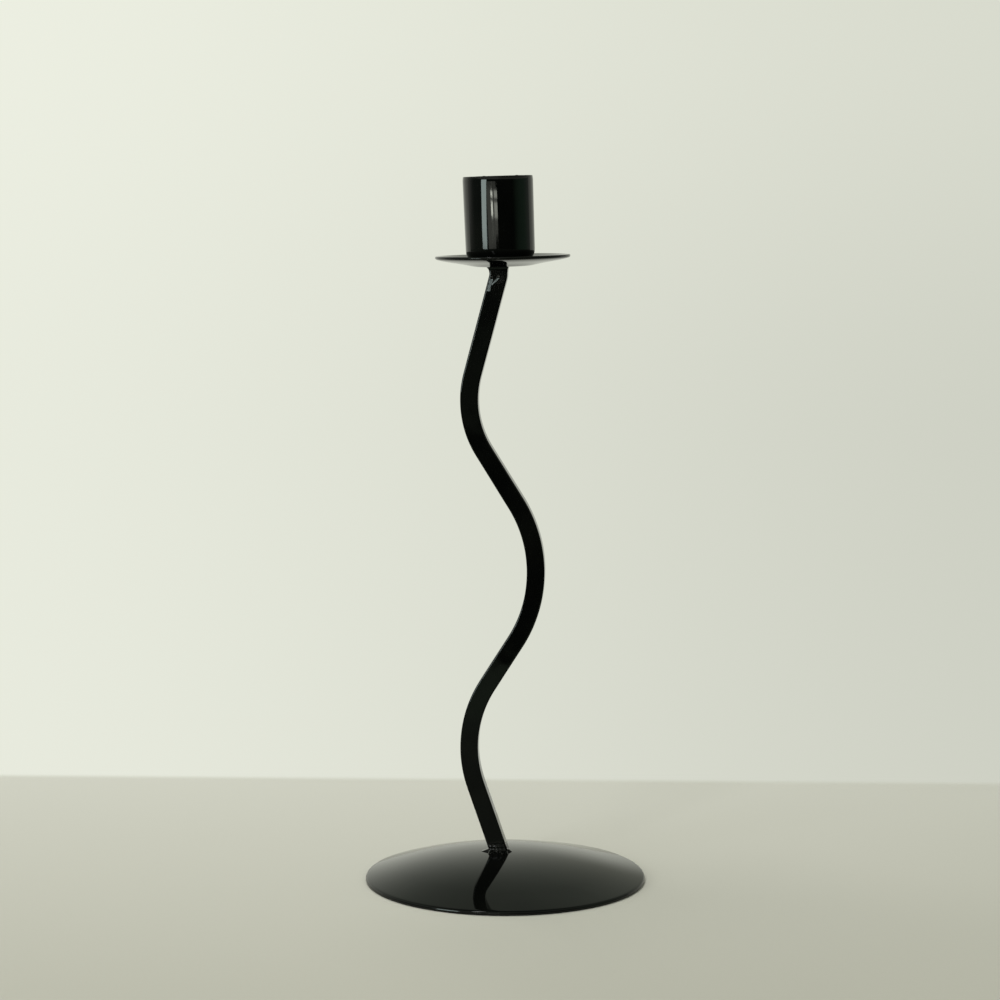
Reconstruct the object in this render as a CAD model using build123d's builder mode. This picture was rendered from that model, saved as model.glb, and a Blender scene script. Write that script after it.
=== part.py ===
from build123d import *
import math
import os

os.makedirs("parts", exist_ok=True)

# A welded steel candle holder: a domed base, a bar bent into a flat wave, a drip tray and a candle cup.
# Millimetres. The base stands on z = 0 with its centre at the origin, and the wave lies in the plane y = 0.

# base dish: a disc pressed into a dome, standing on the flat of its rim
base_diameter = 100.0
base_height = 9.8
base_sheet = 2.0
base_edge_height = 1.6
base_edge_round = 1.0
base_seat_width = 1.5

# stem: a square bar with three long bends and a short one below the tray
bar_side = 6.4
bar_corner = 0.6
foot_reach = -1.9
lower_reach = -17.0
middle_reach = 19.3
upper_reach = -15.25
head_reach = -2.25
foot_run_rise = 43.8
lower_run_rise = 57.2
upper_run_rise = 55.7
head_run_rise = 48.9
head_straight = 3.2
lower_bend = 42.0
middle_bend = 46.5
upper_bend = 34.5
head_bend = 7.0

# head: the tray and the cup lean together and sit a little off the stem
head_lean = 1.7
tray_offset = 1.4
cup_offset = 0.65

# drip tray: a saucer with a flat middle that the cup stands on
tray_diameter = 47.5
tray_sheet = 1.0
tray_seat_margin = 0.2
tray_flange_angle = 12.2
tray_blend = 12.0
tray_edge_round = 0.25

# candle cup: drawn from sheet, for a candle of 22 mm
candle_diameter = 22.0
candle_clearance = 0.2
cup_wall = 1.0
cup_height = 30.5
cup_bottom_round = 5.0
cup_rim_round = 0.3

# weld beads: hollow fillets on the dome and under the tray, wider on the left than on the right
foot_weld_toe = 2.1
foot_weld_front_toe = 1.1
foot_weld_lean = 0.8
foot_weld_leg = 2.4
head_weld_toe = 0.85
head_weld_lean = 0.35
head_weld_leg = 1.9
weld_skirt = 0.3
weld_waist = 0.35
weld_feather = 0.1
plug_diameter = 6.0
plug_head_diameter = 8.4
plug_crown = 0.7

base_radius = base_diameter / 2
bar_half = bar_side / 2
lower_height = base_height + foot_run_rise
middle_height = lower_height + lower_run_rise
upper_height = middle_height + upper_run_rise
head_bend_height = upper_height + head_run_rise
head_height = head_bend_height + head_straight
bore_radius = (candle_diameter + candle_clearance) / 2
cup_floor_radius = bore_radius + cup_wall - cup_bottom_round
tray_seat_radius = cup_floor_radius + abs(tray_offset - cup_offset) + tray_seat_margin
flange_angle = math.radians(tray_flange_angle)

# the corners that the stem's bends round off, all in the plane y = 0
foot_point = Vector(foot_reach, 0, base_height)
lower_point = Vector(lower_reach, 0, lower_height)
middle_point = Vector(middle_reach, 0, middle_height)
upper_point = Vector(upper_reach, 0, upper_height)
head_point = Vector(head_reach, 0, head_bend_height)
run_below_foot = (foot_point - lower_point).normalized() * bar_half
foot_slope = run_below_foot.X / run_below_foot.Z

# planes of the leaning head: the stem's cut end, and the section through the tray and the cup
lean = math.radians(head_lean)
head_right = Vector(math.cos(lean), 0, math.sin(lean))
head_up = Vector(-math.sin(lean), 0, math.cos(lean))
stem_end = Vector(head_reach, 0, head_height)
tray_middle = stem_end + head_right * tray_offset
cup_seat = stem_end + head_right * cup_offset + head_up * tray_sheet
head_plane = Plane(origin=stem_end, x_dir=head_right, z_dir=head_up)
tray_section = Plane(origin=tray_middle, x_dir=head_right, z_dir=(0, -1, 0))
cup_section = Plane(origin=cup_seat, x_dir=head_right, z_dir=(0, -1, 0))
tray_axis = Axis(tray_middle, head_up)
cup_axis = Axis(cup_seat, head_up)

# the space below the dome's outer face, which trims the stem's foot and the foot weld
with BuildPart() as dome_space:
    with BuildSketch(Plane.XZ):
        with BuildLine():
            TangentArc((0, base_height), (base_radius, base_edge_height), tangent=(1, 0))
            Polyline((base_radius, base_edge_height), (base_radius, 0), (0, 0), (0, base_height))
        make_face()
    revolve(axis=Axis.Z)

with BuildPart() as base_dish:
    with BuildSketch(Plane.XZ) as base_profile:
        with BuildLine():
            TangentArc((0, base_height), (base_radius, base_edge_height), tangent=(1, 0))
            Polyline((base_radius, base_edge_height), (base_radius, 0), (base_radius - base_seat_width, 0))
            TangentArc((0, base_height - base_sheet), (base_radius - base_seat_width, 0), tangent=(1, 0))
            Line((0, base_height - base_sheet), (0, base_height))
        make_face()
        rim_corners = base_profile.vertices().group_by(Axis.X)[-1]
        fillet(rim_corners.sort_by(Axis.Y)[-1], base_edge_round)
    revolve(axis=Axis.Z)
base_dish.part.label = "base_dish"
export_step(base_dish.part, "parts/base_dish.step")

with BuildPart() as stem:
    with BuildLine(Plane.XZ) as stem_path:
        FilletPolyline(
            foot_point + run_below_foot,
            lower_point,
            middle_point,
            upper_point,
            head_point,
            Vector(head_reach, 0, head_height + bar_half),
            radius=[lower_bend, middle_bend, upper_bend, head_bend],
        )
    with BuildSketch(Plane(origin=stem_path.line @ 0, x_dir=(0, 1, 0), z_dir=stem_path.line % 0)):
        RectangleRounded(bar_side, bar_side, bar_corner)
    sweep()
    split(bisect_by=head_plane, keep=Keep.BOTTOM)
    add(dome_space.part, mode=Mode.SUBTRACT)
stem.part.label = "stem"
export_step(stem.part, "parts/stem.step")

# a bead's outline, from below its toe up to its tip: height and spread as shares of its leg and of its toe
skirt_spread = 1 + weld_skirt * (1 - weld_waist) / weld_waist
bead_outline = ((-weld_skirt, skirt_spread), (0, 1), (weld_waist, weld_waist), (1, weld_feather))

# the foot weld widens from the bar's sides down to its toe on the dome
with BuildPart() as foot_weld:
    for height, spread in bead_outline:
        rise = height * foot_weld_leg
        side_spread = spread * foot_weld_toe
        front_spread = spread * foot_weld_front_toe
        width = bar_side + 2 * side_spread
        depth = bar_side + 2 * front_spread
        with BuildSketch(Plane.XY.offset(base_height + rise)):
            with Locations((foot_reach + foot_slope * rise - spread * foot_weld_lean, 0)):
                RectangleRounded(width, depth, bar_corner + front_spread)
    loft()
    add(stem.part, mode=Mode.SUBTRACT)
    add(dome_space.part, mode=Mode.SUBTRACT)
foot_weld.part.label = "foot_weld"
export_step(foot_weld.part, "parts/foot_weld.step")

# the head weld widens from the bar's sides up to its toe under the tray
with BuildPart() as head_weld:
    for height, spread in bead_outline:
        toe_spread = spread * head_weld_toe
        width = bar_side + 2 * toe_spread
        with BuildSketch(Plane.XY.offset(head_height - height * head_weld_leg)):
            with Locations((head_reach - spread * head_weld_lean, 0)):
                RectangleRounded(width, width, bar_corner + toe_spread)
    loft()
    split(bisect_by=head_plane, keep=Keep.BOTTOM)
    add(stem.part, mode=Mode.SUBTRACT)
head_weld.part.label = "head_weld"
export_step(head_weld.part, "parts/head_weld.step")

with BuildPart() as drip_tray:
    with BuildSketch(tray_section) as tray_profile:
        with BuildLine():
            bend_reach = tray_seat_radius + tray_blend * math.tan(flange_angle / 2)
            rim_reach = tray_diameter / 2 - tray_sheet / 2 * math.sin(flange_angle)
            rim_rise = (rim_reach - bend_reach) * math.tan(flange_angle)
            FilletPolyline(
                (0, tray_sheet / 2),
                (bend_reach, tray_sheet / 2),
                (rim_reach, tray_sheet / 2 + rim_rise),
                radius=tray_blend,
            )
        trace(line_width=tray_sheet)
        fillet(tray_profile.vertices().sort_by(Axis.X)[-2:], tray_edge_round)
    revolve(axis=tray_axis)
drip_tray.part.label = "drip_tray"
export_step(drip_tray.part, "parts/drip_tray.step")

with BuildPart() as candle_cup:
    with BuildSketch(cup_section) as cup_profile:
        with BuildLine():
            wall_middle = bore_radius + cup_wall / 2
            FilletPolyline(
                (plug_diameter / 2, cup_wall / 2),
                (wall_middle, cup_wall / 2),
                (wall_middle, cup_height),
                radius=cup_bottom_round - cup_wall / 2,
            )
        trace(line_width=cup_wall)
        fillet(cup_profile.vertices().sort_by(Axis.Y)[-2:], cup_rim_round)
    revolve(axis=cup_axis)
candle_cup.part.label = "candle_cup"
export_step(candle_cup.part, "parts/candle_cup.step")

# the cup weld fills the hole in the cup's floor down to the tray and crowns over the hole's edge
with BuildPart() as cup_weld:
    with BuildSketch(cup_section):
        with BuildLine():
            Polyline(
                (0, cup_wall + plug_crown),
                (0, 0),
                (plug_diameter / 2, 0),
                (plug_diameter / 2, cup_wall),
                (plug_head_diameter / 2, cup_wall),
            )
            TangentArc((0, cup_wall + plug_crown), (plug_head_diameter / 2, cup_wall), tangent=(1, 0))
        make_face()
    revolve(axis=cup_axis)
cup_weld.part.label = "cup_weld"
export_step(cup_weld.part, "parts/cup_weld.step")
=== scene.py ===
import math

import bpy
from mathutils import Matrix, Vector, noise


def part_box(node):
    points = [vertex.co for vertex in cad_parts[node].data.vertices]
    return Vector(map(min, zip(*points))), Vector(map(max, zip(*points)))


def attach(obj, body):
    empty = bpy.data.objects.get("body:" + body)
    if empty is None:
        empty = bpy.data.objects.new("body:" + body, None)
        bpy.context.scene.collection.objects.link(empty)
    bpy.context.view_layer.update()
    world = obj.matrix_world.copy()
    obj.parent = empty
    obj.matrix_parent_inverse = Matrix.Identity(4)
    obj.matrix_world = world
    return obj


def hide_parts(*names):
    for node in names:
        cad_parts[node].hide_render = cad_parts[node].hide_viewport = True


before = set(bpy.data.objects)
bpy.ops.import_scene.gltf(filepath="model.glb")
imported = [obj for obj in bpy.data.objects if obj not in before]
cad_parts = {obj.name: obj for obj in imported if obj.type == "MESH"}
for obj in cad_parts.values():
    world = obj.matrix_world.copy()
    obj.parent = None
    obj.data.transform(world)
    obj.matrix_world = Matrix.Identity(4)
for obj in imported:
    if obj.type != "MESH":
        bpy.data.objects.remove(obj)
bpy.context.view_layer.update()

# A welded candle holder in black gloss enamel: a domed base, a bar bent into a flat wave, a drip tray and a
# candle cup. Metres. The base stands on z = 0 with its centre at the origin, and the wave lies in y = 0.
MM = 0.001
ORIGIN = Vector((0, 0, 0))
RIGHT = Vector((1, 0, 0))
BACK = Vector((0, 1, 0))
UP = Vector((0, 0, 1))

# base dish: a pressed dome with a flatter outer ring, a little out of true
BASE_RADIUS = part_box("base_dish")[1].x
BASE_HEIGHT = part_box("base_dish")[1].z
BASE_SHEET = 2.0 * MM
BASE_EDGE_HEIGHT = 1.05 * MM
BASE_EDGE_ROUND = 1.0 * MM
BASE_RING_REACH = 38.0 * MM
BASE_RING_LIFT = 0.35 * MM
BASE_SIDE_LIFT = -0.0155
BASE_BACK_LIFT = 0.5 * MM
BASE_BACK_POWER = 4
BASE_BACK_HEADING = Vector((0.574, 0.819))
BASE_SEAT_WIDTH = 1.5 * MM
BASE_SEAT_ROUND = 0.3 * MM
BASE_DENT_SIZE = 26 * MM
BASE_DENT_DEPTH = 0.05 * MM
BASE_SEGMENTS = 240
DOME_RISE = BASE_HEIGHT - BASE_EDGE_HEIGHT
DOME_RADIUS = (BASE_RADIUS**2 + DOME_RISE**2) / (2 * DOME_RISE)
DOME_CENTRE = Vector((0, 0, BASE_HEIGHT - DOME_RADIUS))

# stem: the corners that its bends round off, and the bends' radii
BAR_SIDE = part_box("stem")[1].y * 2
BAR_CORNER = 0.6 * MM
FOOT = Vector((-1.9 * MM, 0, BASE_HEIGHT))
LOWER = Vector((-17.0 * MM, 0, 53.6 * MM))
MIDDLE = Vector((19.3 * MM, 0, 110.8 * MM))
UPPER = Vector((-15.25 * MM, 0, 166.5 * MM))
HEAD = Vector((-2.25 * MM, 0, 215.4 * MM))
STEM_END = Vector((-2.25 * MM, 0, 218.6 * MM))
STEM_BENDS = (42.0 * MM, 46.5 * MM, 34.5 * MM, 7.0 * MM)
STEM_FOOT_CLEAR = 3.6 * MM
STEM_HEAD_CLEAR = 0.8 * MM
STEM_BURIED = 0.35 * MM
STEM_STEP = 0.52 * MM
STEM_FINE_PARTS = 5
STEM_SIDE_STEPS = 12
STEM_CORNER_STEPS = 12
STEM_FRONT_STEPS = 100
LEAST_BEND_STEPS = 6
LEAST_RUN_STEPS = 2
BAR_SWELL_SIZE = 11 * MM
BAR_SWELL_DEPTH = 0.035 * MM
BAR_RIPPLE_SIZE = 4 * MM
BAR_RIPPLE_DEPTH = 0.012 * MM
BAR_SINK = 0.03 * MM

# two small hammer marks below the tray, each a band of short facets that face left
MARK_LEFT = (Vector((-5.7 * MM, 0, 210.1 * MM)), Vector((-4.65 * MM, 0, 214.2 * MM)))
MARK_RIGHT = (Vector((-4.8 * MM, 0, 212.2 * MM)), Vector((-2.3 * MM, 0, 214.5 * MM)))
MARK_WIDTH = 1.1 * MM
MARK_PITCH = 0.42 * MM
MARK_SLOPE = 0.42
MARK_FADE = 0.4 * MM
MARK_FRONT = -2.4 * MM
MARK_MARGIN = 2 * MM

# head: the tray and the cup lean together
LEAN = math.radians(1.7)
HEAD_RIGHT = Vector((math.cos(LEAN), 0, math.sin(LEAN)))
HEAD_UP = Vector((-math.sin(LEAN), 0, math.cos(LEAN)))
HEAD_SEGMENTS = 200

# drip tray: a flat seat, a flange that swells below, and a rim with a rounder lower edge
TRAY_OFFSET = 1.4 * MM
TRAY_MIDDLE = STEM_END + HEAD_RIGHT * TRAY_OFFSET
TRAY_RADIUS = 23.75 * MM
TRAY_SHEET = 1.0 * MM
TRAY_RIM_SHEET = 1.0 * MM
TRAY_RIM_RISE = -0.15 * MM
TRAY_BELLY = 0.7 * MM
TRAY_BELLY_STEPS = 40
TRAY_SEAT_RADIUS = 8.05 * MM
TRAY_FLANGE = math.radians(12.2)
TRAY_BLEND = 12.0 * MM
TRAY_EDGE_ROUND = 0.2 * MM
TRAY_LOW_ROUND = 0.55 * MM
TRAY_LOW_TURN = 72
TRAY_LEVEL = math.radians(0.5)
TRAY_NOISE_LEVEL = 0.3
TRAY_SWAY_SIZE = 0.9
TRAY_SWAY_DEPTH = 0.10 * MM
TRAY_RIM_SIZE = 0.7
TRAY_RIM_DEPTH = 0.06 * MM

# candle cup: a drawn wall with a slight flare and shear, and a lip that draws in below a few small nubs
CUP_OFFSET = 0.65 * MM
CUP_SEAT = STEM_END + HEAD_RIGHT * CUP_OFFSET + HEAD_UP * TRAY_SHEET
CUP_RADIUS = 12.1 * MM
CUP_WALL = 1.0 * MM
CUP_HEIGHT = 30.5 * MM
CUP_BOTTOM_ROUND = 5.0 * MM
CUP_RIM_ROUND = 0.3 * MM
CUP_FLARE = 0.2 * MM
CUP_SHEAR = math.radians(0.34)
CUP_NOISE_RISE = 0.12
CUP_NOISE_SIZE = 0.25
CUP_WALL_DEPTH = 0.013 * MM
CUP_WALL_START = 5
CUP_RIM_DEPTH = 0.05 * MM
LIP_DEPTH = 1.5 * MM
LIP_DRAW = 0.18 * MM
LIP_POWER = 1.1
RIM_NUBS = ((7.3 * MM, -1), (-4.2 * MM, -1), (-8.6 * MM, 1), (2.0 * MM, 1))
RIM_NUB_WIDTH = 0.5 * MM
RIM_NUB_HEIGHT = 0.12 * MM

# cup weld: a plug in the hole of the cup's floor
PLUG_RADIUS = 3.0 * MM
PLUG_HEAD_RADIUS = 4.2 * MM
PLUG_CROWN = 0.7 * MM
PLUG_DENT_SIZE = 1.4 * MM
PLUG_DENT_DEPTH = 0.25 * MM
PLUG_SEGMENTS = 72

# weld beads: hollow fillets, wider on the left than on the right
FOOT_WELD_TOE = 2.4 * MM
FOOT_WELD_LEAN = 1.15 * MM
FOOT_WELD_LEG = 1.1 * MM
FOOT_WELD_TOE_FRONT = -0.5 * MM
FOOT_WELD_TOE_STEP = 0.3 * MM
FOOT_WELD_LEFT_CORNER = 0.3
FOOT_WELD_RIGHT_CORNER = 0.05
FOOT_WELD_SQUARE = 0.35
FOOT_WELD_FRONT_LEG = 3.4 * MM
FOOT_WELD_FRONT_TURN = 0.9
FOOT_WELD_BACK_TOE = 0.9 * MM
FOOT_WELD_HOLLOW = 1.1
HEAD_WELD_TOE = 0.85 * MM
HEAD_WELD_LEAN = 0.35 * MM
HEAD_WELD_LEG = 1.9 * MM
HEAD_WELD_FRONT_TOE = 0.35 * MM
HEAD_WELD_TIP_SINK = 0.08 * MM
WELD_FEATHER = 0.05
WELD_HOLLOW = 2.4
BEAD_STEPS = 30
BEAD_AROUND = 30
BEAD_CORNER_STEPS = 8
BEAD_INSIDE = 0.6 * MM
BEAD_BURIED = 0.3 * MM
BEAD_SINK = 0.05 * MM
BEAD_TIP_DROP = 0.1 * MM

# the foot weld's front climbs the bar in two ripples: height above the dome and reach before the bar, in mm
FRONT_RIPPLES = ((3.4, 0.03), (3.1, 0.06), (2.65, 0.32), (1.9, 0.38), (1.4, 0.66), (0.0, 0.74))
RIPPLE_PITCH = 1.9 * MM
RIPPLE_TILT = 0.13
RIPPLE_TILT_REACH = 0.3
RIPPLE_WANDER = 0.4
RIPPLE_WANDER_SIZE = 2.1 * MM
RIPPLE_LEAST = 0.03 * MM

# the small hole at the axis of a turned piece, and the angle at which its arcs stop before the axis
POLE = 0.02 * MM
POLE_ANGLE = 89.5


class Wire:
    """A shader value. Sums on it add Math nodes to its tree."""

    def __init__(self, tree, socket=None):
        self.tree = tree
        self.socket = socket

    def node(self, kind, settings=None, sockets=None, output=0):
        """Adds a node, with its settings first and then the values or links of its sockets."""
        made = self.tree.nodes.new(kind)
        for name, value in (settings or {}).items():
            setattr(made, name, value)
        for name, value in (sockets or {}).items():
            if isinstance(value, Wire):
                self.tree.links.new(value.socket, made.inputs[name])
            else:
                made.inputs[name].default_value = value
        return Wire(self.tree, made.outputs[output] if made.outputs else None)

    def sum_node(self, operation, first, second):
        return self.node("ShaderNodeMath", {"operation": operation}, {0: first, 1: second})

    def __add__(self, other):
        return self.sum_node("ADD", self, other)

    def __radd__(self, other):
        return self.sum_node("ADD", other, self)

    def __sub__(self, other):
        return self.sum_node("SUBTRACT", self, other)

    def __rsub__(self, other):
        return self.sum_node("SUBTRACT", other, self)

    def __mul__(self, other):
        return self.sum_node("MULTIPLY", self, other)

    def __rmul__(self, other):
        return self.sum_node("MULTIPLY", other, self)

    def __truediv__(self, other):
        return self.sum_node("DIVIDE", self, other)

    def __rtruediv__(self, other):
        return self.sum_node("DIVIDE", other, self)

    def ease(self, low, high):
        """0 below low, 1 above high, and a smooth step between them."""
        settings = {"interpolation_type": "SMOOTHSTEP"}
        return self.node("ShaderNodeMapRange", settings, {"Value": self, "From Min": low, "From Max": high})

    def blend(self, first, second):
        """The first colour where this value is 0, and the second where it is 1."""
        settings = {"data_type": "RGBA"}
        return self.node("ShaderNodeMix", settings, {0: self, 6: first, 7: second}, output=2)

    def axis(self, name):
        """The part of a vector along X, Y or Z."""
        return self.node("ShaderNodeSeparateXYZ", {}, {0: self}, output=name)

    def length(self):
        """The length of a vector."""
        return self.node("ShaderNodeVectorMath", {"operation": "LENGTH"}, {0: self}, output="Value")

    def cloud(self, scale, detail):
        """Soft noise over the places that a vector gives."""
        return self.node("ShaderNodeTexNoise", {}, {"Vector": self, "Scale": scale, "Detail": detail})


def start_material(name):
    """A material with an empty tree, and a wire to fill the tree with."""
    material = bpy.data.materials.new(name)
    material.use_nodes = True
    material.node_tree.nodes.clear()
    return material, Wire(material.node_tree)


# enamel: an orange-peel skin on longer swells, dull smears and fine settled dust
BLACK = (0.0014, 0.0017, 0.0014, 1)
DUSTY_BLACK = (0.0045, 0.0050, 0.0040, 1)
ENAMEL_IOR = 1.32
SMEAR_SCALE = 70.0
SMEAR_LIMITS = (0.4, 0.75)
SPECK_SCALE = 2600.0
SPECK_LIMITS = (0.68, 0.8)
SPECK_ROUGHNESS = 0.05
DUST_SHARE = 0.5
PEEL_SCALE = 620.0
SWELL_SCALE = 160.0
SWELL_WEIGHT = 2.0


def enamel(name, gloss, smear, peel):
    """Black gloss enamel: its roughness, what smears add to that, and the depth of its orange peel."""
    material, wire = start_material(name)
    place = wire.node("ShaderNodeTexCoord", output="Object")
    smears = place.cloud(SMEAR_SCALE, detail=3.0).ease(*SMEAR_LIMITS)
    specks = place.cloud(SPECK_SCALE, detail=1.0).ease(*SPECK_LIMITS)
    height = place.cloud(PEEL_SCALE, detail=2.0) + place.cloud(SWELL_SCALE, detail=1.0) * SWELL_WEIGHT
    normal = wire.node("ShaderNodeBump", {}, {"Strength": 1.0, "Distance": peel, "Height": height})
    shader = wire.node("ShaderNodeBsdfPrincipled", {}, {
        "Base Color": (smears * DUST_SHARE + specks * DUST_SHARE).blend(BLACK, DUSTY_BLACK),
        "Roughness": gloss + smears * smear + specks * SPECK_ROUGHNESS,
        "IOR": ENAMEL_IOR,
        "Normal": normal,
    })
    wire.node("ShaderNodeOutputMaterial", {}, {"Surface": shader})
    return material


base_enamel = enamel("base_enamel", gloss=0.03, smear=0.03, peel=0.0012 * MM)
stem_enamel = enamel("stem_enamel", gloss=0.04, smear=0.02, peel=0.0006 * MM)
weld_enamel = enamel("weld_enamel", gloss=0.07, smear=0.05, peel=0.002 * MM)
tray_enamel = enamel("tray_enamel", gloss=0.06, smear=0.05, peel=0.004 * MM)
cup_enamel = enamel("cup_enamel", gloss=0.02, smear=0.03, peel=0.0002 * MM)


def skin(rings, looped):
    """Points and faces of a solid through rings of points, closed on itself or capped at both ends."""
    around = len(rings[0])
    points = [point for ring in rings for point in ring]
    faces = []
    for row in range(len(rings) if looped else len(rings) - 1):
        near = row * around
        far = (row + 1) % len(rings) * around
        for turn in range(around):
            after = (turn + 1) % around
            faces.append((near + turn, near + after, far + after, far + turn))
    if not looped:
        faces.append(tuple(range(around))[::-1])
        faces.append(tuple(range(len(points) - around, len(points))))
    return points, faces


def piece(node, material, rings, looped=False):
    """A smooth piece that stands for the CAD node of that name."""
    points, faces = skin(rings, looped)
    mesh = bpy.data.meshes.new(node + "_skin")
    mesh.from_pydata(points, [], faces)
    mesh.shade_smooth()
    mesh.materials.append(material)
    made = bpy.data.objects.new(node + "_skin", mesh)
    bpy.context.collection.objects.link(made)
    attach(made, "root")
    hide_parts(node)


def arc(centre_reach, centre_height, radius, start, end, steps):
    """Points of a profile along an arc, with its angles in degrees from the reach axis."""
    angles = [math.radians(start + (end - start) * step / steps) for step in range(steps + 1)]
    return [(centre_reach + radius * math.cos(a), centre_height + radius * math.sin(a)) for a in angles]


def straight(start, end, steps):
    """Points of a profile along a line, without its two ends."""
    shares = [step / steps for step in range(1, steps)]
    return [(start[0] + (end[0] - start[0]) * s, start[1] + (end[1] - start[1]) * s) for s in shares]


def turned(profile, middle, right, up, segments, uneven):
    """Rings of a turned piece, from pairs of reach and height that uneven moves at each angle."""
    rings = []
    for reach, height in profile:
        ring = []
        for segment in range(segments):
            angle = 2 * math.pi * segment / segments
            extra_reach, extra_height = uneven(reach, height, angle)
            out = right * math.cos(angle) + BACK * math.sin(angle)
            ring.append(middle + out * (reach + extra_reach) + up * (height + extra_height))
        rings.append(ring)
    return rings


def waver(place, size, depth):
    """A smooth unevenness of that depth, with swells about as wide as size."""
    return depth * noise.noise(place / size)


def within(share):
    """A share, kept between 0 and 1."""
    return min(1, max(0, share))


def side_lift(x, y):
    """How far the pressed dome is out of true: higher on the left side, and at its far right edge."""
    spot = Vector((x, y)) / BASE_RADIUS
    back = max(0, spot.dot(BASE_BACK_HEADING))
    return BASE_SIDE_LIFT * x * (1 - spot.length_squared) + BASE_BACK_LIFT * back**BASE_BACK_POWER


def make_base_dish():
    edge_reach = BASE_RADIUS - BASE_EDGE_ROUND
    flat = math.degrees(math.asin(edge_reach / (DOME_RADIUS - BASE_EDGE_ROUND)))
    edge_height = DOME_CENTRE.z + (DOME_RADIUS - BASE_EDGE_ROUND) * math.cos(math.radians(flat))
    seat_reach = BASE_RADIUS - BASE_SEAT_WIDTH
    seat_corner = BASE_RADIUS - BASE_SEAT_ROUND
    inner_height = BASE_HEIGHT - BASE_SHEET
    hollow_radius = (seat_reach**2 + inner_height**2) / (2 * inner_height)
    hollow_flat = math.degrees(math.asin(seat_reach / hollow_radius))
    profile = [(POLE, BASE_HEIGHT)]
    profile += arc(0, DOME_CENTRE.z, DOME_RADIUS, POLE_ANGLE, 90 - flat, steps=60)
    profile += arc(edge_reach, edge_height, BASE_EDGE_ROUND, 90 - flat, 0, steps=10)[1:]
    profile += arc(seat_corner, BASE_SEAT_ROUND, BASE_SEAT_ROUND, 0, -90, steps=5)
    profile += arc(0, inner_height - hollow_radius, hollow_radius, 90 - hollow_flat, POLE_ANGLE, steps=24)
    profile += [(POLE, inner_height)]

    def hollow_height(reach):
        """The height of the hollow under the dome at that reach."""
        inside = max(0, hollow_radius**2 - reach**2)
        return max(0, inner_height - hollow_radius + math.sqrt(inside))

    def uneven(reach, height, angle):
        spot = Vector((reach * math.cos(angle), reach * math.sin(angle), height))
        dent = -abs(waver(spot, BASE_DENT_SIZE, BASE_DENT_DEPTH)) if height > BASE_EDGE_HEIGHT else 0
        ring = max(0, reach - BASE_RING_REACH) / (BASE_RADIUS - BASE_RING_REACH)
        outer = within((height - hollow_height(reach)) / BASE_EDGE_HEIGHT)
        lift = side_lift(spot.x, spot.y) * min(1, height / BASE_EDGE_HEIGHT)
        return 0, dent + lift + BASE_RING_LIFT * ring**2 * outer

    rings = turned(profile, ORIGIN, RIGHT, UP, BASE_SEGMENTS, uneven)
    piece("base_dish", base_enamel, [ring[::-1] for ring in rings])


def bent_line(corners, bends):
    """Points and headings along straight runs that are joined by bends."""
    line = []
    leave = corners[0]
    for before, corner, after, bend in zip(corners, corners[1:], corners[2:], bends):
        inward = (corner - before).normalized()
        onward = (after - corner).normalized()
        turn = inward.angle(onward)
        enter = corner - inward * bend * math.tan(turn / 2)
        line += run_points(leave, enter)
        side = (onward - inward * inward.dot(onward)).normalized()
        steps = max(LEAST_BEND_STEPS, round(bend * turn / STEM_STEP))
        for step in range(steps):
            angle = turn * step / steps
            point = enter + inward * bend * math.sin(angle) + side * bend * (1 - math.cos(angle))
            line.append((point, inward * math.cos(angle) + side * math.sin(angle)))
        leave = corner + onward * bend * math.tan(turn / 2)
    return line + run_points(leave, corners[-1])


def run_points(start, end):
    """Points and headings along a straight run, without its end."""
    heading = (end - start).normalized()
    steps = max(LEAST_RUN_STEPS, round((end - start).length / STEM_STEP))
    return [(start.lerp(end, step / steps), heading) for step in range(steps)]


def finer(line, low, parts):
    """The points of a line, with those above a height set closer together."""
    fine = []
    for (point, heading), (after, turned_to) in zip(line, line[1:]):
        steps = parts if point.z > low else 1
        for step in range(steps):
            share = step / steps
            fine.append((point.lerp(after, share), heading.lerp(turned_to, share).normalized()))
    return fine + [line[-1]]


def rounded_square(side, corner, flat_steps, corner_steps, front_steps):
    """Pairs of a point and its outward direction around a rounded square, whose last side is its front."""
    flat = side / 2 - corner
    outline = []
    for quarter, steps in enumerate((flat_steps, flat_steps, flat_steps, front_steps)):
        middle = quarter * math.pi / 2
        out = Vector((math.cos(middle), math.sin(middle)))
        along = Vector((-out.y, out.x))
        for step in range(steps):
            outline.append((out * side / 2 + along * flat * (2 * step / steps - 1), out))
        for step in range(corner_steps):
            angle = middle + math.pi / 2 * step / corner_steps
            turned_out = Vector((math.cos(angle), math.sin(angle)))
            outline.append(((out + along) * flat + turned_out * corner, turned_out))
    return outline


def on_dome(point, heading, depth):
    """Slides a point along a heading onto the dome, that deep below its face."""
    offset = point - DOME_CENTRE
    along = offset.dot(heading)
    across = offset.length_squared - along**2
    return point + heading * (math.sqrt((DOME_RADIUS - depth)**2 - across) - along)


def mark_lift(point, mark):
    """How far a hammer mark lifts the bar's front: each facet climbs slowly to the right and drops fast."""
    low, high = mark
    middle = low.lerp(high, within((point.z - low.z) / (high.z - low.z)))
    if abs(point.x - middle.x) > MARK_WIDTH / 2:
        return 0
    over = abs(point.z - middle.z)
    climb = (point.x - low.x + MARK_WIDTH / 2) % MARK_PITCH
    return climb * MARK_SLOPE * math.exp(-(over / MARK_FADE)**2)


def bar_lift(point):
    """How far the painted face of the bar stands off its true place."""
    swells = waver(point, BAR_SWELL_SIZE, BAR_SWELL_DEPTH)
    ripples = waver(point, BAR_RIPPLE_SIZE, BAR_RIPPLE_DEPTH)
    marks = max(mark_lift(point, MARK_LEFT), mark_lift(point, MARK_RIGHT)) if point.y <= MARK_FRONT else 0
    return swells + ripples - BAR_SINK + marks


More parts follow.
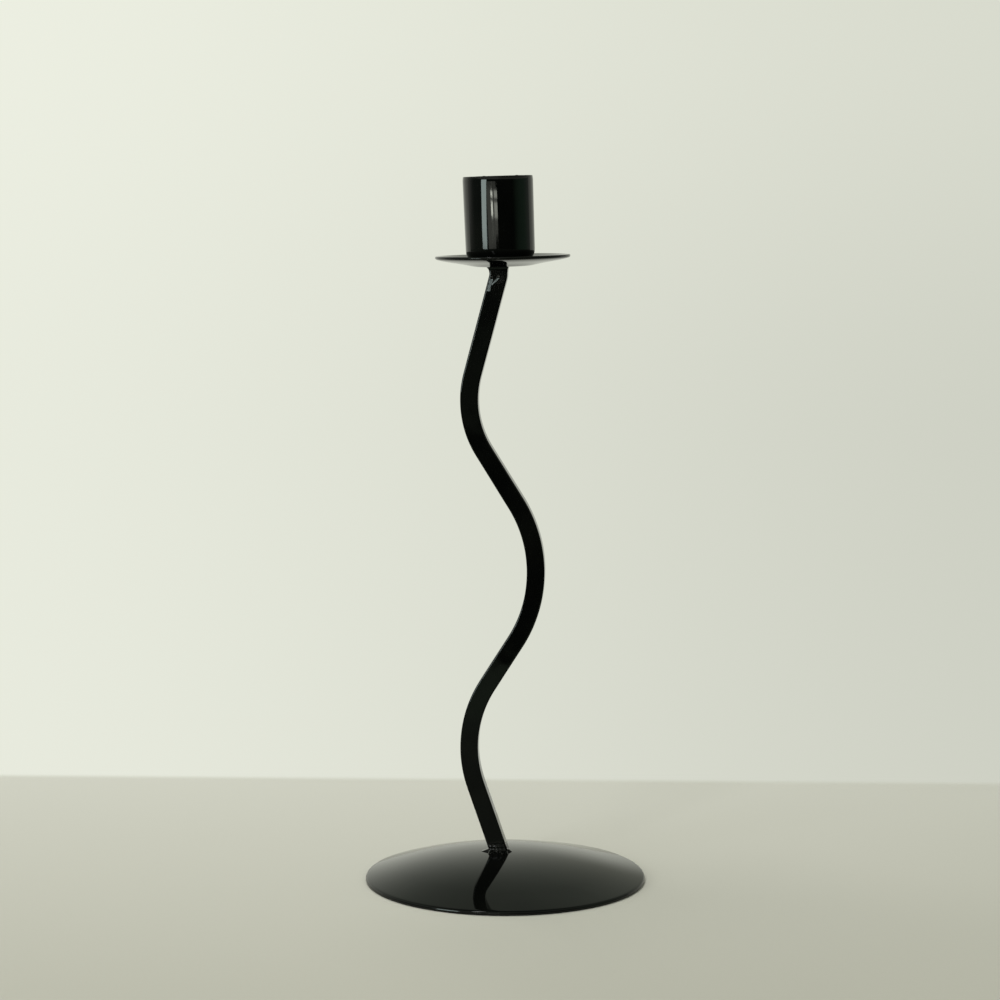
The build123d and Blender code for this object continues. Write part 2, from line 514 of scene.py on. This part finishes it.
def make_stem():
    foot_run = (LOWER - FOOT).normalized()
    foot_start = FOOT + foot_run * STEM_FOOT_CLEAR
    head_stop = STEM_END - UP * STEM_HEAD_CLEAR
    line = bent_line([foot_start, LOWER, MIDDLE, UPPER, HEAD, head_stop], STEM_BENDS)
    line = finer(line, MARK_LEFT[0].z - MARK_MARGIN, STEM_FINE_PARTS)
    outline = rounded_square(BAR_SIDE, BAR_CORNER, STEM_SIDE_STEPS, STEM_CORNER_STEPS, STEM_FRONT_STEPS)
    rings = []
    for centre, heading in line:
        across = Vector((heading.z, 0, -heading.x))
        ring = []
        for spot, out in outline:
            point = centre + across * spot.x + BACK * spot.y
            outward = across * out.x + BACK * out.y
            ring.append(point + outward * bar_lift(point))
        rings.append(ring)
    foot_ring = [on_dome(point, foot_run, STEM_BURIED) for point in rings[0]]
    head_ring = []
    for point in rings[-1]:
        rise = (STEM_END + HEAD_UP * STEM_BURIED - point).dot(HEAD_UP) / HEAD_UP.z
        head_ring.append(point + UP * rise)
    piece("stem", stem_enamel, [foot_ring] + rings + [head_ring])


def hollow(share, power=WELD_HOLLOW):
    """A fillet's spread beyond the bar, from its tip to its toe."""
    return WELD_FEATHER + (1 - WELD_FEATHER) * share**power


def bead(middle, slant, surface, rise_sign, leg_of, reach_of):
    """Rings of a weld bead between the bar and the sheet that it stands on or hangs from."""
    rings = []
    for spot, out in rounded_square(BAR_SIDE, BAR_CORNER, BEAD_AROUND, BEAD_CORNER_STEPS, BEAD_AROUND):
        ring = []
        leg = leg_of(out)
        for step in range(BEAD_STEPS + 1):
            share = step / BEAD_STEPS
            drop = leg * (1 - share)
            reach = reach_of(spot, out, share, drop)
            x = middle.x + spot.x + slant * drop + reach.x
            y = spot.y + reach.y
            ring.append(Vector((x, y, surface(x, y) + rise_sign * (drop - share * BEAD_SINK))))
        low = UP * rise_sign * BEAD_BURIED
        ring.append(ring[-1] - Vector((reach.x, reach.y, 0)) / 2 - low)
        foot = Vector((middle.x + spot.x - out.x * BEAD_INSIDE, spot.y - out.y * BEAD_INSIDE, 0))
        ring.append(foot + UP * surface(foot.x, foot.y) - low)
        ring.append(Vector((foot.x + slant * leg, foot.y, ring[0].z - rise_sign * BEAD_TIP_DROP)))
        rings.append(ring)
    return rings


def dome_height(x, y):
    """The height of the dome's face."""
    return DOME_CENTRE.z + math.sqrt(DOME_RADIUS**2 - x**2 - y**2) + side_lift(x, y)


def tray_underside(x, y):
    """The height of the tray's flat underside."""
    return STEM_END.z + (x - STEM_END.x) * math.tan(LEAN)


def ripple_reach(x, height):
    """How far the front of the foot weld stands before the bar."""
    reach = FRONT_RIPPLES[-1][1]
    level = min(height / MM, FRONT_RIPPLES[0][0])
    for (high, near), (low, far) in zip(FRONT_RIPPLES, FRONT_RIPPLES[1:]):
        if low <= level <= high:
            reach = near + (far - near) * (high - level) / (high - low)
    wander = noise.noise(Vector((x, height, 0)) / RIPPLE_WANDER_SIZE)
    saw = (x / RIPPLE_PITCH + RIPPLE_WANDER * wander) % 1 - 0.5
    tilt = saw * RIPPLE_PITCH * RIPPLE_TILT * min(1, reach / RIPPLE_TILT_REACH)
    return max(RIPPLE_LEAST, reach * MM + tilt)


def make_foot_weld():
    slant = (LOWER.x - FOOT.x) / (LOWER.z - FOOT.z)

    def leg_of(out):
        front = max(0, -out.y - FOOT_WELD_FRONT_TURN) / (1 - FOOT_WELD_FRONT_TURN)
        return FOOT_WELD_LEG + (FOOT_WELD_FRONT_LEG - FOOT_WELD_LEG) * front

    def reach_of(spot, out, share, drop):
        square = math.copysign(min(1, abs(out.x) / FOOT_WELD_SQUARE), out.x)
        before = within((spot.y - FOOT_WELD_TOE_FRONT) / FOOT_WELD_TOE_STEP)
        behind = within((BAR_SIDE / 2 - spot.y) / (BAR_SIDE / 4))
        corner = FOOT_WELD_LEFT_CORNER if out.x < 0 else FOOT_WELD_RIGHT_CORNER
        narrow = corner + (1 - corner) * min(before, behind)
        toe = square * FOOT_WELD_TOE - FOOT_WELD_LEAN * abs(square)
        x = toe * narrow * hollow(share, FOOT_WELD_HOLLOW)
        y = out.y * (ripple_reach(spot.x, drop) if out.y < 0 else FOOT_WELD_BACK_TOE * hollow(share))
        return Vector((x, y))

    rings = bead(FOOT, slant, dome_height, 1, leg_of, reach_of)
    piece("foot_weld", weld_enamel, rings, looped=True)


def make_head_weld():
    def leg_of(out):
        return HEAD_WELD_LEG

    def reach_of(spot, out, share, drop):
        x = out.x * (HEAD_WELD_TOE - HEAD_WELD_LEAN * out.x) * hollow(share)
        y = out.y * (HEAD_WELD_FRONT_TOE * hollow(share) - HEAD_WELD_TIP_SINK * (1 - share))
        return Vector((x, y))

    rings = bead(STEM_END, 0, tray_underside, -1, leg_of, reach_of)
    piece("head_weld", weld_enamel, [ring[::-1] for ring in rings], looped=True)


def make_drip_tray():
    half = TRAY_SHEET / 2
    flange = math.degrees(TRAY_FLANGE)
    centre_height = half + TRAY_BLEND
    lower_bend = arc(TRAY_SEAT_RADIUS, centre_height, TRAY_BLEND + half, -90, flange - 90, steps=10)
    upper_bend = arc(TRAY_SEAT_RADIUS, centre_height, TRAY_BLEND - half, flange - 90, -90, steps=10)
    along = Vector((math.cos(TRAY_FLANGE), math.sin(TRAY_FLANGE)))
    out = Vector((along.y, -along.x))
    bend_end = Vector(lower_bend[-1])
    flange_end = bend_end + along * ((TRAY_RADIUS - bend_end.x) / along.x)
    rim_low = flange_end - out * TRAY_RIM_RISE
    rim_high = rim_low - out * TRAY_RIM_SHEET
    low_corner = rim_low - (along + out) * TRAY_LOW_ROUND
    high_corner = rim_high - (along - out) * TRAY_EDGE_ROUND
    low_round = arc(low_corner.x, low_corner.y, TRAY_LOW_ROUND, flange - TRAY_LOW_TURN, flange, steps=10)
    high_round = arc(high_corner.x, high_corner.y, TRAY_EDGE_ROUND, flange, flange + 90, steps=6)
    belly = []
    for step in range(1, TRAY_BELLY_STEPS):
        share = step / TRAY_BELLY_STEPS
        swell = TRAY_BELLY * 4 * share**3 * (1 - share) - TRAY_RIM_RISE * share**6
        spot = bend_end.lerp(flange_end, share) + out * swell
        if spot.x < low_round[0][0]:
            belly.append((spot.x, spot.y))
    profile = [(POLE, 0)] + straight((0, 0), lower_bend[0], steps=6) + lower_bend
    profile += belly + low_round + high_round
    profile += straight(high_round[-1], upper_bend[0], steps=14) + upper_bend
    profile += straight(upper_bend[-1], (0, TRAY_SHEET), steps=6) + [(POLE, TRAY_SHEET)]

    def uneven(reach, height, angle):
        spot = Vector((math.cos(angle), math.sin(angle), TRAY_NOISE_LEVEL))
        share = max(0, reach - TRAY_SEAT_RADIUS) / (TRAY_RADIUS - TRAY_SEAT_RADIUS)
        tip = TRAY_LEVEL * TRAY_RADIUS * math.cos(angle)
        sway = waver(spot, TRAY_SWAY_SIZE, TRAY_SWAY_DEPTH) - tip
        return -abs(waver(spot, TRAY_RIM_SIZE, TRAY_RIM_DEPTH)) * share, sway * share

    rings = turned(profile, TRAY_MIDDLE, HEAD_RIGHT, HEAD_UP, HEAD_SEGMENTS, uneven)
    piece("drip_tray", tray_enamel, rings)


def make_candle_cup():
    bore = CUP_RADIUS - CUP_WALL
    floor_reach = CUP_RADIUS - CUP_BOTTOM_ROUND
    rim = CUP_HEIGHT - CUP_RIM_ROUND
    outer_bend = arc(floor_reach, CUP_BOTTOM_ROUND, CUP_BOTTOM_ROUND, -90, 0, steps=16)
    inner_bend = arc(floor_reach, CUP_BOTTOM_ROUND, CUP_BOTTOM_ROUND - CUP_WALL, 0, -90, steps=12)
    outer_rim = arc(CUP_RADIUS - CUP_RIM_ROUND, rim, CUP_RIM_ROUND, 0, 90, steps=6)
    inner_rim = arc(bore + CUP_RIM_ROUND, rim, CUP_RIM_ROUND, 90, 180, steps=6)
    profile = [(PLUG_RADIUS, 0)] + straight((PLUG_RADIUS, 0), outer_bend[0], steps=4) + outer_bend
    profile += straight(outer_bend[-1], outer_rim[0], steps=60) + outer_rim + inner_rim
    profile += straight(inner_rim[-1], inner_bend[0], steps=24) + inner_bend
    profile += straight(inner_bend[-1], (PLUG_RADIUS, CUP_WALL), steps=4) + [(PLUG_RADIUS, CUP_WALL)]

    def uneven(reach, height, angle):
        spot = Vector((math.cos(angle), math.sin(angle), CUP_NOISE_RISE * height / CUP_RADIUS))
        climb = max(0, height - CUP_BOTTOM_ROUND) / (CUP_HEIGHT - CUP_BOTTOM_ROUND)
        lip = max(0, height - CUP_HEIGHT + LIP_DEPTH) / LIP_DEPTH
        wall = climb * (CUP_FLARE - CUP_SHEAR * CUP_HEIGHT * math.cos(angle)) - lip**LIP_POWER * LIP_DRAW
        wall += min(1, CUP_WALL_START * climb) * waver(spot, CUP_NOISE_SIZE, CUP_WALL_DEPTH)
        if height < rim:
            return wall, 0
        drop = -RIM_NUB_HEIGHT - abs(waver(spot, CUP_NOISE_SIZE, CUP_RIM_DEPTH))
        for nub_reach, side in RIM_NUBS:
            nub = math.asin(nub_reach / CUP_RADIUS)
            nub_angle = -math.pi / 2 + nub if side < 0 else math.pi / 2 - nub
            gap = (angle - nub_angle + math.pi) % (2 * math.pi) - math.pi
            drop += RIM_NUB_HEIGHT * math.exp(-(gap * CUP_RADIUS / RIM_NUB_WIDTH)**2)
        return wall, min(0, drop) * (height - rim) / CUP_RIM_ROUND

    rings = turned(profile, CUP_SEAT, HEAD_RIGHT, HEAD_UP, HEAD_SEGMENTS, uneven)
    piece("candle_cup", cup_enamel, rings, looped=True)


def make_cup_weld():
    crown_radius = (PLUG_HEAD_RADIUS**2 + PLUG_CROWN**2) / (2 * PLUG_CROWN)
    edge = math.degrees(math.acos(PLUG_HEAD_RADIUS / crown_radius))
    profile = [(POLE, 0), (PLUG_RADIUS - POLE, 0), (PLUG_RADIUS - POLE, CUP_WALL)]
    profile += arc(0, CUP_WALL + PLUG_CROWN - crown_radius, crown_radius, edge, POLE_ANGLE, steps=14)

    def uneven(reach, height, angle):
        spot = Vector((reach * math.cos(angle), reach * math.sin(angle), 0))
        lifted = height > CUP_WALL
        return 0, -abs(waver(spot, PLUG_DENT_SIZE, PLUG_DENT_DEPTH)) if lifted else 0

    rings = turned(profile, CUP_SEAT, HEAD_RIGHT, HEAD_UP, PLUG_SEGMENTS, uneven)
    piece("cup_weld", weld_enamel, rings)


make_base_dish()
make_stem()
make_foot_weld()
make_head_weld()
make_drip_tray()
make_candle_cup()
make_cup_weld()

# studio: its pieces are set out from the camera, which stands a little to the right of the holder's front
EYE = Vector((62.716 * MM, -923.875 * MM, 244.65 * MM))
VIEW_TURN = math.radians(4)
VIEW_TILT = math.radians(83.341)
LENS = 95.17
SENSOR_WIDTH = 36.0

# wall: its tones on the left and on the right, and the limits between which each tone fades into the next
WALL_LEFT = (0.815, 0.835, 0.735, 1)
WALL_RIGHT = (0.610, 0.625, 0.545, 1)
WALL_LEFT_TOP = (0.848, 0.868, 0.764, 1)
WALL_RIGHT_TOP = (0.683, 0.700, 0.610, 1)
WALL_RIGHT_DIM = (0.40, 0.41, 0.34, 1)
CEILING = (0.33, 0.365, 0.30, 1)
ZENITH = (0.08, 0.09, 0.08, 1)
WALL_SIDES = (-0.25, 0.25)
WALL_RISE = (-0.1, 0.07)
DIM_SIDES = (-0.05, 0.2)
DIM_RISE = (0.08, 0.3)
CEILING_RISE = (0.12, 0.75)
ZENITH_RISE = (0.72, 0.97)

# table: the pale floor, darker towards its front as painted shade, whose far edge fades into the wall's tone
TABLE_TURN = math.radians(1.9)
TABLE_DEPTH = 160 * MM
TABLE_FRONT = -150 * MM
TABLE_SOFT = 5 * MM
TABLE_FADE = (0.7, 1.6)
TABLE_NEAR_SHADED = (0.564, 0.551, 0.487, 1)
TABLE_FAR_LIT = (0.680, 0.670, 0.614, 1)
TABLE_GRAIN_SCALE = 900.0
TABLE_GRAIN_LIMITS = (0.2, 0.8)
TABLE_GRAIN_SHARE = 0.06
FLOOR_REACH = 40.0
FLOOR_HEIGHT = -0.05 * MM


def wall_side(heading):
    """How far a heading points to the camera's right."""
    right = (math.cos(VIEW_TURN), math.sin(VIEW_TURN), 0)
    settings = {"operation": "DOT_PRODUCT"}
    return heading.node("ShaderNodeVectorMath", settings, {0: heading, 1: right}, output="Value")


def wall_colour(heading):
    """The wall's tone, which falls from left to right and from the top down."""
    rise = heading.axis("Z").ease(*WALL_RISE)
    across = wall_side(heading).ease(*WALL_SIDES)
    return rise.blend(across.blend(WALL_LEFT, WALL_RIGHT), across.blend(WALL_LEFT_TOP, WALL_RIGHT_TOP))


def make_room():
    world = bpy.data.worlds.new("room")
    bpy.context.scene.world = world
    world.use_nodes = True
    world.node_tree.nodes.clear()
    wire = Wire(world.node_tree)
    heading = wire.node("ShaderNodeTexCoord", output="Generated")
    height = heading.axis("Z")
    dim = height.ease(*DIM_RISE) * wall_side(heading).ease(*DIM_SIDES)
    colour = dim.blend(wall_colour(heading), WALL_RIGHT_DIM)
    colour = height.ease(*CEILING_RISE).blend(colour, CEILING)
    colour = height.ease(*ZENITH_RISE).blend(colour, ZENITH)
    background = wire.node("ShaderNodeBackground", {}, {"Color": colour, "Strength": 1.0})
    wire.node("ShaderNodeOutputWorld", {}, {"Surface": background})


def stage_mesh(name, points, faces, material, turn):
    """A piece of the stage, turned about the holder's axis."""
    mesh = bpy.data.meshes.new(name)
    mesh.from_pydata(points, [], faces)
    mesh.materials.append(material)
    made = bpy.data.objects.new(name, mesh)
    made.rotation_euler.z = turn
    bpy.context.collection.objects.link(made)
    return made


def make_floor():
    """The table's cloth, with painted shade towards its front, which takes the wall's tone past its far edge
    and far from the holder as a glowing painted backdrop.
    """
    material, wire = start_material("floor_cloth")
    place = wire.node("ShaderNodeTexCoord", output="Object")
    back = place.axis("Y")
    past_edge = back.ease(TABLE_DEPTH - TABLE_SOFT, TABLE_DEPTH + TABLE_SOFT)
    far = 1 - (1 - past_edge) * (1 - place.length().ease(*TABLE_FADE))
    seen = wire.node("ShaderNodeLightPath", output="Is Camera Ray")
    glossy = wire.node("ShaderNodeLightPath", output="Is Glossy Ray")
    through = wire.node("ShaderNodeLightPath", output="Is Transmission Ray")
    grain = place.cloud(TABLE_GRAIN_SCALE, detail=2.0).ease(*TABLE_GRAIN_LIMITS)
    # the cloth runs from painted shade at the front to its lit tone at the back, with its real grain on top
    depth = (back - TABLE_FRONT) / (TABLE_DEPTH - TABLE_FRONT) - grain * TABLE_GRAIN_SHARE
    cloth = wire.node("ShaderNodeBsdfDiffuse", {}, {"Color": depth.blend(TABLE_NEAR_SHADED, TABLE_FAR_LIT)})
    position = wire.node("ShaderNodeNewGeometry", output="Position")
    # past the table's edge the floor glows with the wall's tone for camera and gloss rays: a painted
    # backdrop whose painted shade makes it darker to the right and lower down
    sight = wire.node("ShaderNodeVectorMath", {"operation": "SUBTRACT"}, {0: position, 1: EYE})
    heading = wire.node("ShaderNodeVectorMath", {"operation": "NORMALIZE"}, {0: sight})
    wall = wire.node("ShaderNodeEmission", {}, {"Color": wall_colour(heading), "Strength": 1.0})
    mixed = wire.node("ShaderNodeMixShader", {}, {0: far * (seen + glossy + through), 1: cloth, 2: wall})
    wire.node("ShaderNodeOutputMaterial", {}, {"Surface": mixed})
    corners = ((-1, -1), (1, -1), (1, 1), (-1, 1))
    points = [(x * FLOOR_REACH, y * FLOOR_REACH, FLOOR_HEIGHT) for x, y in corners]
    stage_mesh("floor", points, [(0, 1, 2, 3)], material, TABLE_TURN)


# dark side: a curved card from beside the base out over the table and up, which glows only in the holder's
# gloss as a painted reflection of the room's unlit front and of the table, and the limits of its tones as
# shares of its radius, or in metres for its floor
SHADE_RADIUS = 2.4
SHADE_NEAR = 0.056
SHADE_SPAN = 117
SHADE_STEPS = 48
SHADE_HEIGHT = 0.62
SHADE_LYING = 0.5 * MM
SHADE_FRONT = (0.012, 0.013, 0.012, 1)
SHADE_LEFT = (0.12, 0.15, 0.13, 1)
SHADE_RIGHT = (0.17, 0.30, 0.20, 1)
SHADE_LEFT_END = (0.62, 0.63, 0.57, 1)
SHADE_RIGHT_END = (0.28, 0.31, 0.27, 1)
PAINTED_NEAR_FLOOR = (0.19, 0.21, 0.17, 1)
PAINTED_FLOOR_BAND = (0.26, 0.34, 0.24, 1)
PAINTED_FAR_FLOOR = (0.10, 0.12, 0.09, 1)
SHADE_RIGHT_SIDE = (0.7, 1.0)
SHADE_LEFT_SIDE = (0.2, 0.9)
SHADE_END_SIDES = (-0.2, 0.2)
SHADE_END_BACK = (-0.1, 0.45)
FLOOR_BAND_START = (0.22, 0.32)
FLOOR_BAND_END = (0.41, 0.47)
FAR_FLOOR_START = (1.7, 2.05)
FAR_FLOOR_RISE = (0.02, 0.16)


def gloss_only(card):
    """Leaves a stage piece to the gloss of the holder alone."""
    card.visible_camera = False
    card.visible_diffuse = False
    card.visible_shadow = False


def make_painted_reflection_card():
    """A painted reflection of the unlit front of the room and of the table's dark end, glowing only in the
    holder's gloss.
    """
    material, wire = start_material("room_shade_painted_reflection")
    place = wire.node("ShaderNodeTexCoord", output="Object")
    side = place.axis("X") / SHADE_RADIUS
    back = place.axis("Y") / SHADE_RADIUS
    radius = place.length()
    toned = side.ease(*SHADE_RIGHT_SIDE).blend(SHADE_FRONT, SHADE_RIGHT)
    toned = (0 - side).ease(*SHADE_LEFT_SIDE).blend(toned, SHADE_LEFT)
    ends = side.ease(*SHADE_END_SIDES).blend(SHADE_LEFT_END, SHADE_RIGHT_END)
    toned = back.ease(*SHADE_END_BACK).blend(toned, ends)
    far = radius.ease(*FAR_FLOOR_START) * (1 - place.axis("Z").ease(*FAR_FLOOR_RISE))
    toned = far.blend(toned, PAINTED_FAR_FLOOR)
    near = radius.ease(*FLOOR_BAND_START).blend(PAINTED_NEAR_FLOOR, PAINTED_FLOOR_BAND)
    tone = radius.ease(*FLOOR_BAND_END).blend(near, toned)
    # the card's glow is painted reflection: near black for the room's unlit front, paler tones for the table
    # and the lit ends
    dark = wire.node("ShaderNodeEmission", {}, {"Color": tone, "Strength": 1.0})
    wire.node("ShaderNodeOutputMaterial", {}, {"Surface": dark})
    points = []
    faces = []
    for step in range(SHADE_STEPS + 1):
        angle = math.radians(SHADE_SPAN) * (2 * step / SHADE_STEPS - 1)
        out = Vector((math.sin(angle), -math.cos(angle), 0))
        points.append(out * SHADE_NEAR + UP * SHADE_LYING)
        points.append(out * SHADE_RADIUS + UP * SHADE_LYING)
        points.append(out * SHADE_RADIUS + UP * SHADE_HEIGHT)
        if step:
            new = 3 * step
            faces.append((new - 3, new, new + 1, new - 2))
            faces.append((new - 2, new + 1, new + 2, new - 1))
    gloss_only(stage_mesh("dark_side", points, faces, material, VIEW_TURN))


# panes: glowing panes that only the gloss shows, painted highlights of the window and its smears; bearings
# in degrees left of the camera, along a pane's low edge and its high edge
WINDOW_SKEW = ((59.5, 44.0), (56.0, 37.4))
WINDOW_UPRIGHT = ((56.0, 37.4), (56.0, 37.4))
LEFT_COLUMN = ((25.5, 19.5), (25.5, 19.5))
RIGHT_COLUMN = ((15.0, 4.5), (15.0, 4.5))
WIDE = ((38.0, 4.5), (38.0, 4.5))
LEFT_PART = ((38.0, 13.0), (38.0, 13.0))
UPPER_PART = ((38.0, 9.0), (38.0, 9.0))
WINDOW_TINT = (0.84, 1.0, 0.95)
PANE_TINT = (0.97, 1.0, 0.87)
PANE_DISTANCE = 1.5
SMEAR_DISTANCE = 1.62
CUP_DISTANCE = 0.914

# each pane: its bearings, the heights in mm on the cup where its edges show, its distance, radiance and tint
PANES = (
    (WINDOW_SKEW, 225.4, 250.4, PANE_DISTANCE, 12.5, WINDOW_TINT),
    (WINDOW_UPRIGHT, 250.4, 332.0, PANE_DISTANCE, 12.5, WINDOW_TINT),
    (LEFT_COLUMN, 242.5, 244.4, PANE_DISTANCE, 24.0, PANE_TINT),
    (LEFT_COLUMN, 236.3, 241.1, PANE_DISTANCE, 24.0, PANE_TINT),
    (RIGHT_COLUMN, 242.6, 244.9, PANE_DISTANCE, 9.5, PANE_TINT),
    (RIGHT_COLUMN, 235.9, 241.1, PANE_DISTANCE, 9.5, PANE_TINT),
    (WIDE, 229.5, 245.4, SMEAR_DISTANCE, 1.8, PANE_TINT),
    (LEFT_PART, 225.4, 229.5, SMEAR_DISTANCE, 1.8, PANE_TINT),
    (UPPER_PART, 245.4, 248.3, SMEAR_DISTANCE, 1.1, PANE_TINT),
)


def mirrored(height, bearing, distance):
    """The height of a pane that the cup's front mirrors at that height of its own."""
    half = math.radians(bearing) / 2
    flare = CUP_FLARE / (CUP_HEIGHT - CUP_BOTTOM_ROUND)
    tip = math.sin(VIEW_TURN - half) * (math.sin(LEAN) + CUP_SHEAR) - flare
    return height + distance * ((height - EYE.z) / CUP_DISTANCE + 2 * math.cos(half) * tip)


def make_painted_highlight_pane(number, bearings, low, high, distance, radiance, tint):
    """A bright pane at the front, which only the gloss shows: a painted highlight that lights nothing."""
    material, wire = start_material("pane_light")
    colour = tuple(radiance * channel for channel in tint) + (1,)
    # the pane's glow is a painted highlight, seen in the gloss alone
    light = wire.node("ShaderNodeEmission", {}, {"Color": colour, "Strength": 1.0})
    wire.node("ShaderNodeOutputMaterial", {}, {"Surface": light})
    points = []
    for height, (left, right) in zip((low, high), bearings):
        for bearing in (left, right):
            angle = math.radians(bearing)
            level = mirrored(height * MM, bearing, distance)
            points.append((-distance * math.sin(angle), -distance * math.cos(angle), level))
    gloss_only(stage_mesh("pane_%d" % number, points, [(0, 1, 3, 2)], material, VIEW_TURN))


AIM = Vector((0, 0, 0.12))


def make_lamp(name, bearing, distance, height, width, tall, radiance, colour, in_gloss):
    """A soft panel that faces the holder, at a bearing in degrees left of the camera."""
    light = bpy.data.lights.new(name, "AREA")
    light.shape = "RECTANGLE"
    light.size = width
    light.size_y = tall
    light.color = colour
    light.energy = radiance * math.pi * width * tall
    lamp = bpy.data.objects.new(name, light)
    angle = math.radians(bearing) - VIEW_TURN
    lamp.location = (-distance * math.sin(angle), -distance * math.cos(angle), height)
    lamp.rotation_euler = (AIM - lamp.location).to_track_quat("-Z", "Y").to_euler()
    lamp.visible_camera = False
    lamp.visible_glossy = in_gloss
    bpy.context.collection.objects.link(lamp)


def make_lamps():
    make_lamp(
        "window",
        bearing=50,
        distance=1.6,
        height=0.30,
        width=0.44,
        tall=0.62,
        radiance=10.0,
        colour=(0.92, 0.97, 1.0),
        in_gloss=False,
    )
    make_lamp(
        "high_window",
        bearing=27,
        distance=1.1,
        height=1.25,
        width=0.13,
        tall=0.75,
        radiance=9.0,
        colour=(0.98, 1.0, 1.0),
        in_gloss=True,
    )
    make_lamp(
        "overhead",
        bearing=140,
        distance=0.4,
        height=1.15,
        width=0.8,
        tall=0.6,
        radiance=5.0,
        colour=(1.0, 0.99, 0.96),
        in_gloss=False,
    )


def make_camera():
    camera = bpy.data.cameras.new("camera")
    camera.sensor_width = SENSOR_WIDTH
    camera.lens = LENS
    viewer = bpy.data.objects.new("camera", camera)
    viewer.location = EYE
    viewer.rotation_euler = (VIEW_TILT, 0, VIEW_TURN)
    bpy.context.collection.objects.link(viewer)
    bpy.context.scene.camera = viewer


make_room()
make_floor()
make_painted_reflection_card()
for number, pane in enumerate(PANES):
    make_painted_highlight_pane(number, *pane)
make_lamps()
make_camera()
bpy.context.scene.view_settings.view_transform = "Standard"
